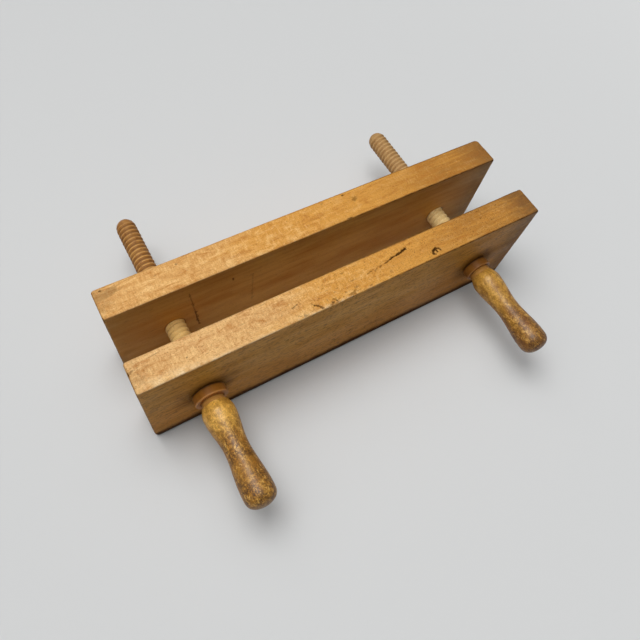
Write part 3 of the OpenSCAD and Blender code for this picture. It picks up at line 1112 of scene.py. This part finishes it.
        # The heel is painted dark: a painted shadow where the collar meets the cheek
        painted = {"grime_and_shade": self.heel_shade * step(y, *np.subtract(back, self.heel_band)),
                   # The front face and arris are painted pale: rubbed wear with a painted highlight on the
                   # arris
                   "bare": self.collar_rubbed_and_highlight * step(y, *np.add(front, self.rubbed_and_highlight_band))}
        painted = {key: np.broadcast_to(value, points.shape[:-1]) for key, value in painted.items()}
        return weave(self.node("collar") + "_turned", [Patch(points, round_columns=True, paint=painted)])

    def handle(self) -> Piece:
        """The handle: its socket, then a neck, a round shoulder, bulge, waist and knob, and a full end.

        The end's radius is the knob's times sqrt(1 - u^fullness), with u the share of the way to its end.

        Returns:
            The handle.
        """
        end, neck_y = self.handle_span
        socket = self.tenon_d / 2 + self.glue_room
        floor = self.screw_span[0] - self.glue_room
        bulge = (self.bulge_d / 2, neck_y - self.bulge_at)
        waist = (self.waist_d / 2, neck_y - self.waist_at)
        knob = (self.knob_d / 2, end + self.knob_l)
        neck = self.neck_d / 2
        shoulder = max(bulge[0] - self.shoulder_in, neck + self.least_step)
        cove = min(self.neck_cove, (shoulder - neck) / 2)
        brow = min(self.shoulder_round, (shoulder - neck) / 2)
        brim = neck_y - self.neck_l - brow
        u = np.sin(np.linspace(0.0, math.pi / 2, 30))
        dome = np.stack([knob[0] * np.sqrt(1 - u ** self.knob_fullness), knob[1] - self.knob_l * u], axis=-1)
        outline = np.concatenate([
            [[0.0, floor], [socket, floor], [socket, neck_y], [neck, neck_y]],
            arc((neck + cove, neck_y - self.neck_l + cove), cove, 180, 270, 8)[:-1],
            arc((shoulder - brow, brim), brow, 90, 0, 8)[:-1],
            swell((shoulder, brim), bulge, 20, steep=True),
            swell(bulge, waist, 40), swell(waist, knob, 44), dome])
        points = self.turned(outline, self.handle_uneven)
        return weave(self.node("handle") + "_turned", [Patch(points, round_columns=True)])

    def dress(self) -> None:
        """Builds the three pieces and puts them in their nodes' stead."""
        place(self.screw(), self.node("screw"), self.body, "screw_wood", self.screw_finish.material())
        place(self.collar(), self.node("collar"), self.body, "collar_wood", self.collar_finish.material())
        place(self.handle(), self.node("handle"), self.body, "handle_wood", self.handle_finish.material())


# The stage


@dataclass
class Lamp:
    """A soft square lamp that looks at a place on the press."""

    name: str
    at_m: Triple
    size_m: float
    watts: float
    aim_m: Triple = (0.0, 0.0, 0.06)

    def light(self) -> None:
        """Adds the lamp to the scene."""
        data = bpy.data.lights.new(self.name, "AREA")
        data.shape = "SQUARE"
        data.size = self.size_m
        data.energy = self.watts
        lamp = bpy.data.objects.new(self.name, data)
        lamp.location = self.at_m
        lamp.rotation_euler = (Vector(self.aim_m) - Vector(self.at_m)).to_track_quat("-Z", "Y").to_euler()
        bpy.context.scene.collection.objects.link(lamp)


@dataclass
class Stage:
    """The pale floor, the lamps, the sky and the camera."""

    floor_m: float = 6.0
    floor_lines: int = 41
    level_share: float = 0.6
    rise: float = 0.4
    floor_colour: Colour = paint(206, 207, 207)
    fade_m: Band = (0.05, 2.1)
    far_share: float = 0.95
    sky_colour: Colour = paint(240, 244, 250)
    sky_strength: float = 0.03
    eye_m: Triple = (-0.20966, -0.22379, 0.56701)
    heading_deg: float = 39.18
    dip_deg: float = 61.70
    roll_deg: float = 11.28
    lens: float = 32.04
    sensor: float = 36.0
    near_m: float = 0.01
    image_px: int = 640
    axis_px: tuple[float, float] = (302.04, 308.63)
    lamps: tuple[Lamp, ...] = (
        Lamp("key_lamp", (-0.27, 0.22, 1.44), 0.8, 14.0),
        Lamp("fill_lamp", (-0.27, 0.22, 1.5), 2.2, 15.5),
    )

    def seen(self, nodes: Nodes) -> Socket:
        """1 for a ray that looks at the stage from the camera, a mirror or glass, and 0 for others."""
        ray = nodes.node("ShaderNodeLightPath", {}).outputs
        return nodes.sum("ADD", ray["Is Camera Ray"],
                         nodes.sum("ADD", ray["Is Glossy Ray"], ray["Is Transmission Ray"]))

    def floor(self) -> None:
        """Lays a level sheet under the press, its edges curving up a little, which, seen directly or in
        reflections, glows more with distance from the lamps.
        """
        reach = self.floor_m / 2
        u = np.linspace(-reach, reach, self.floor_lines)
        x, y = np.meshgrid(u, u, indexing="ij")
        edge = np.clip(np.hypot(x, y) / reach - self.level_share, 0.0, None)
        sheet = weave("floor", [Patch(np.stack([x, y, self.rise * edge ** 2], axis=-1) / MM)])
        g = Graph("pale_cloth", self.floor_colour)
        under = (*self.lamps[0].at_m[:2], 0.0)
        away = g.node("ShaderNodeVectorMath", {0: g.here, 1: under}, operation="DISTANCE")
        far = g.band(away.outputs["Value"], *self.fade_m, 0.0, self.far_share)
        g.surface(Roughness=0.9, Specular_IOR_Level=0.1, Emission_Color=self.floor_colour,
                  Emission_Strength=g.times(self.seen(g), far))
        sheet.data.materials.append(g.material)

    def sky(self) -> None:
        """Gives the world an even soft light, and the floor's paleness where it is seen itself."""
        world = bpy.data.worlds.new("soft_sky")
        sky = Nodes(world)
        light = sky.tree.nodes["Background"]
        sky.put(light.inputs["Color"], self.sky_colour)
        sky.put(light.inputs["Strength"], self.sky_strength)
        pale = sky.node("ShaderNodeBackground", {"Color": self.floor_colour})
        either = sky.node("ShaderNodeMixShader", {0: self.seen(sky), 1: light.outputs[0], 2: pale.outputs[0]})
        sky.put(sky.tree.nodes["World Output"].inputs["Surface"], either.outputs[0])
        bpy.context.scene.world = world

    def camera(self) -> None:
        """Stands the camera where the photograph was taken from, with its heading, dip, roll and shift."""
        data = bpy.data.cameras.new("photo_camera")
        data.lens = self.lens
        data.sensor_width = self.sensor
        data.shift_x = (self.image_px / 2 - self.axis_px[0]) / self.image_px
        data.shift_y = (self.axis_px[1] - self.image_px / 2) / self.image_px
        data.clip_start = self.near_m
        camera = bpy.data.objects.new("photo_camera", data)
        stand = Matrix.Translation(self.eye_m)
        for degrees, axis in ((-self.heading_deg, "Z"), (90 - self.dip_deg, "X"), (self.roll_deg, "Z")):
            stand @= Matrix.Rotation(math.radians(degrees), 4, axis)
        camera.matrix_world = stand
        bpy.context.scene.collection.objects.link(camera)
        bpy.context.scene.camera = camera

    def set(self) -> None:
        """Makes the whole stage."""
        self.floor()
        self.sky()
        for lamp in self.lamps:
            lamp.light()
        self.camera()
        bpy.context.scene.view_settings.view_transform = "Standard"
        LOG.info("stage: floor, %d lamps and camera", len(self.lamps))


def on_top(*row: float) -> Mark:
    """A mark on a cheek's top, from its start's x and y, its end's x and y, and the rest as in Mark."""
    return Mark((*row[:2], CHEEK_TOP), (*row[2:4], CHEEK_TOP), *row[4:])


FRONT_MARKS = (
    on_top(278.2, 22.6, 276.0, 21.9, 1.9, 1.0, 0.95, 0.5),
    on_top(275.2, 22.0, 271.6, 20.7, 1.6, 0.9, 0.95, 0.5),
    on_top(270.4, 20.7, 267.4, 20.1, 1.8, 0.9, 0.95, 0.5),
    on_top(266.6, 19.9, 262.8, 19.5, 1.3, 0.7, 0.9, 0.5),
    on_top(262.0, 19.6, 258.8, 18.5, 1.3, 0.6, 0.9, 0.6),
    on_top(258.0, 18.5, 254.4, 17.5, 1.0, 0.5, 0.8, 0.6),
    on_top(253.6, 17.4, 250.6, 16.5, 0.9, 0.4, 0.7, 0.7),
    on_top(246.5, 16.4, 244.5, 15.4, 1.2, 0.3, 0.55, 0.9),
    on_top(241.0, 15.2, 238.5, 14.4, 1.0, 0.2, 0.4, 0.9),
    on_top(235.0, 15.2, 229.5, 14.2, 0.9, 0.2, 0.5, 0.7),
    on_top(252.4, 7.7, 252.0, 6.0, 1.6, 0.1, 0.25, 0.8),
    on_top(300.2, 5.2, 301.4, 8.0, 1.7, 0.8, 0.9, 0.4),
    on_top(301.4, 8.0, 305.2, 9.9, 1.5, 0.8, 0.95, 0.4),
    on_top(305.2, 9.9, 308.6, 8.2, 1.4, 0.8, 0.95, 0.4),
    on_top(308.6, 8.2, 309.0, 6.2, 1.2, 0.6, 0.85, 0.4),
    on_top(304.8, 9.0, 304.8, 5.4, 1.2, 0.6, 0.9, 0.4),
    on_top(301.2, 4.4, 301.6, 4.0, 1.4, 0.3, 0.6, 0.5),
    on_top(167.4, 10.4, 168.8, 7.5, 0.8, 0.2, 0.5, 0.6),
    on_top(168.8, 7.5, 171.4, 6.1, 1.1, 0.5, 0.85, 0.5),
    on_top(171.4, 6.1, 174.6, 2.6, 1.3, 0.5, 0.7, 0.8),
    on_top(156.0, 2.2, 158.5, 1.8, 1.3, 0.3, 0.5, 1.0),
    on_top(185.3, 3.2, 185.8, 3.0, 1.4, 0.6, 0.85, 0.7),
    on_top(187.5, 5.9, 188.2, 5.6, 1.3, 0.5, 0.7, 0.8),
    on_top(189.2, 3.6, 189.8, 3.2, 1.4, 0.6, 0.75, 0.8),
    on_top(183.0, 1.0, 191.0, 0.6, 1.2, 0.6, 0.45, 1.1),
    on_top(203.0, 2.8, 208.6, 2.0, 1.6, 0.5, 0.5, 1.2),
    on_top(150.0, 13.6, 155.4, 15.2, 0.8, 0.2, 0.6, 0.6),
    on_top(175.6, 11.8, 176.2, 11.8, 0.8, 0.2, 0.45, 0.4),
    on_top(208.0, 25.4, 208.8, 25.4, 1.1, 0.2, 0.4, 0.5),
    on_top(48.7, 12.4, 48.9, 12.4, 1.0, 0.4, 0.75, 0.3),
    on_top(3.0, 20.8, 5.0, 21.8, 1.6, 0.3, 0.5, 0.8),
    on_top(1.0, 25.4, 1.6, 25.2, 0.9, 0.3, 0.8, 0.4),
    Mark((0.0, 20.5, 122.8), (0.0, 18.4, 122.2), 1.9, 1.3, 0.95, 0.5),
    on_top(3.0, 14.0, 9.0, 10.0, 4.0, 0.0, 0.2, 1.0),
    on_top(368.4, 19.2, 368.9, 19.2, 0.9, 0.3, 0.65, 0.3),
    on_top(392.7, 25.8, 394.0, 26.2, 0.9, 0.3, 0.55, 0.3),
    Mark((139.0, 0.0, 92.0), (141.0, 0.0, 92.0), 1.6, 0.2, 0.4, 0.7),
    Mark((197.0, 0.0, 37.0), (201.0, 0.0, 33.0), 1.8, 0.2, 0.35, 1.0),
    Mark((78.0, 0.0, 78.0), (88.0, 0.0, 72.0), 7.0, 0.0, 0.25, 0.4),
)
REAR_MARKS = (
    on_top(264.0, 19.4, 266.4, 20.0, 3.0, 0.15, 0.45, 0.7),
    on_top(255.4, 28.4, 256.4, 28.4, 1.4, 0.4, 0.75, 0.4),
    on_top(248.0, 1.0, 251.0, 1.0, 1.5, 0.7, 0.75, 0.8),
    on_top(7.0, 28.0, 8.0, 28.0, 1.3, 0.4, 0.85, 0.4),
    on_top(4.0, 22.0, 17.0, 24.0, 6.5, 0.0, 0.36, 1.0),
    on_top(3.0, 9.0, 6.0, 13.0, 4.0, 0.0, 0.2, 1.0),
    Mark((0.0, 1.4, 121.8), (0.0, 0.0, 119.6), 1.9, 1.2, 0.95, 0.5),
    on_top(77.0, 24.8, 78.0, 25.0, 1.2, 0.2, 0.5, 0.6),
    on_top(231.0, 27.6, 232.0, 27.6, 1.4, 0.1, 0.3, 0.6),
    Mark((77.6, 0.0, 108.0), (80.6, 0.0, 70.0), 0.9, 0.1, 0.5, 0.8),
    Mark((80.6, 0.0, 70.0), (82.8, 0.0, 42.0), 1.2, 0.2, 0.7, 0.8),
    Mark((142.6, 0.0, 96.0), (142.2, 0.0, 46.0), 0.9, 0.05, 0.25, 0.9),
    Mark((121.6, 0.0, 102.6), (122.0, 0.0, 99.8), 1.2, 0.3, 0.75, 0.4),
)


def main() -> None:
    """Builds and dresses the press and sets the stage."""
    logging.basicConfig(level=logging.INFO, format="%(name)s: %(message)s")
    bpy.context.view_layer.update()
    thread = Thread()
    plain_hole = 11.2
    thread_room = 0.45

    def running(angle: Array, y: Array) -> Array:
        """The radius of the front cheek's plain hole, at angles and places on its axis."""
        return np.broadcast_to(plain_hole, np.broadcast(angle, y).shape)

    def tapped(angle: Array, y: Array) -> Array:
        """The radius of the rear cheek's tapped hole, clear of the screw all round."""
        return thread.radius + thread_room - thread.depth * thread.groove(angle, y)

    Cheek("front_cheek", "front_jaw", BeechFinish("front_cheek_beech"), FRONT_MARKS, 3, running,
          collar_soil_and_shade=0.55, handled=1.0).dress()
    rear_beech = BeechFinish("rear_cheek_beech", outer_m=0.033, inner_m=0.029, pith=(0.3, 0.03, -0.05),
                             pale=paint(208, 158, 92), curl_to_m=0.06, smoky=0.45, pocked=0.4,
                             shift=(3.1, 1.7, 5.3))
    Cheek("rear_cheek", "rear_jaw", rear_beech, REAR_MARKS, 41, tapped, worn=6.0).dress()
    Spindle(Side.LEFT, 31.6, 24.0, 30.4, 33.0, ScrewFinish("left_screw_raw"),
            CollarFinish("left_collar_waxed"), HandleFinish("left_handle_varnish"), 5).dress()
    Spindle(Side.RIGHT, 29.4, 23.0, 29.2, 28.4,
            ScrewFinish("right_screw_raw", cream=paint(230, 202, 142), tail=paint(188, 152, 100),
                        contrast=0.45, tip_share=0.08, shift=(2, 3, 4)),
            CollarFinish("right_collar_waxed", wood=paint(146, 94, 32), shift=(4, 1, 2)),
            HandleFinish("right_handle_varnish", amber=paint(214, 162, 68), deep=paint(136, 85, 28),
                         fleck=paint(76, 46, 18), straw=paint(226, 182, 104), clear_from_m=-0.075,
                         dense_from_m=-0.15, grip_share=0.64, shift=(7, 3, 1)),
            17, collar_rubbed_and_highlight=0.12).dress()
    Stage().set()


if __name__ == "__main__":
    main()
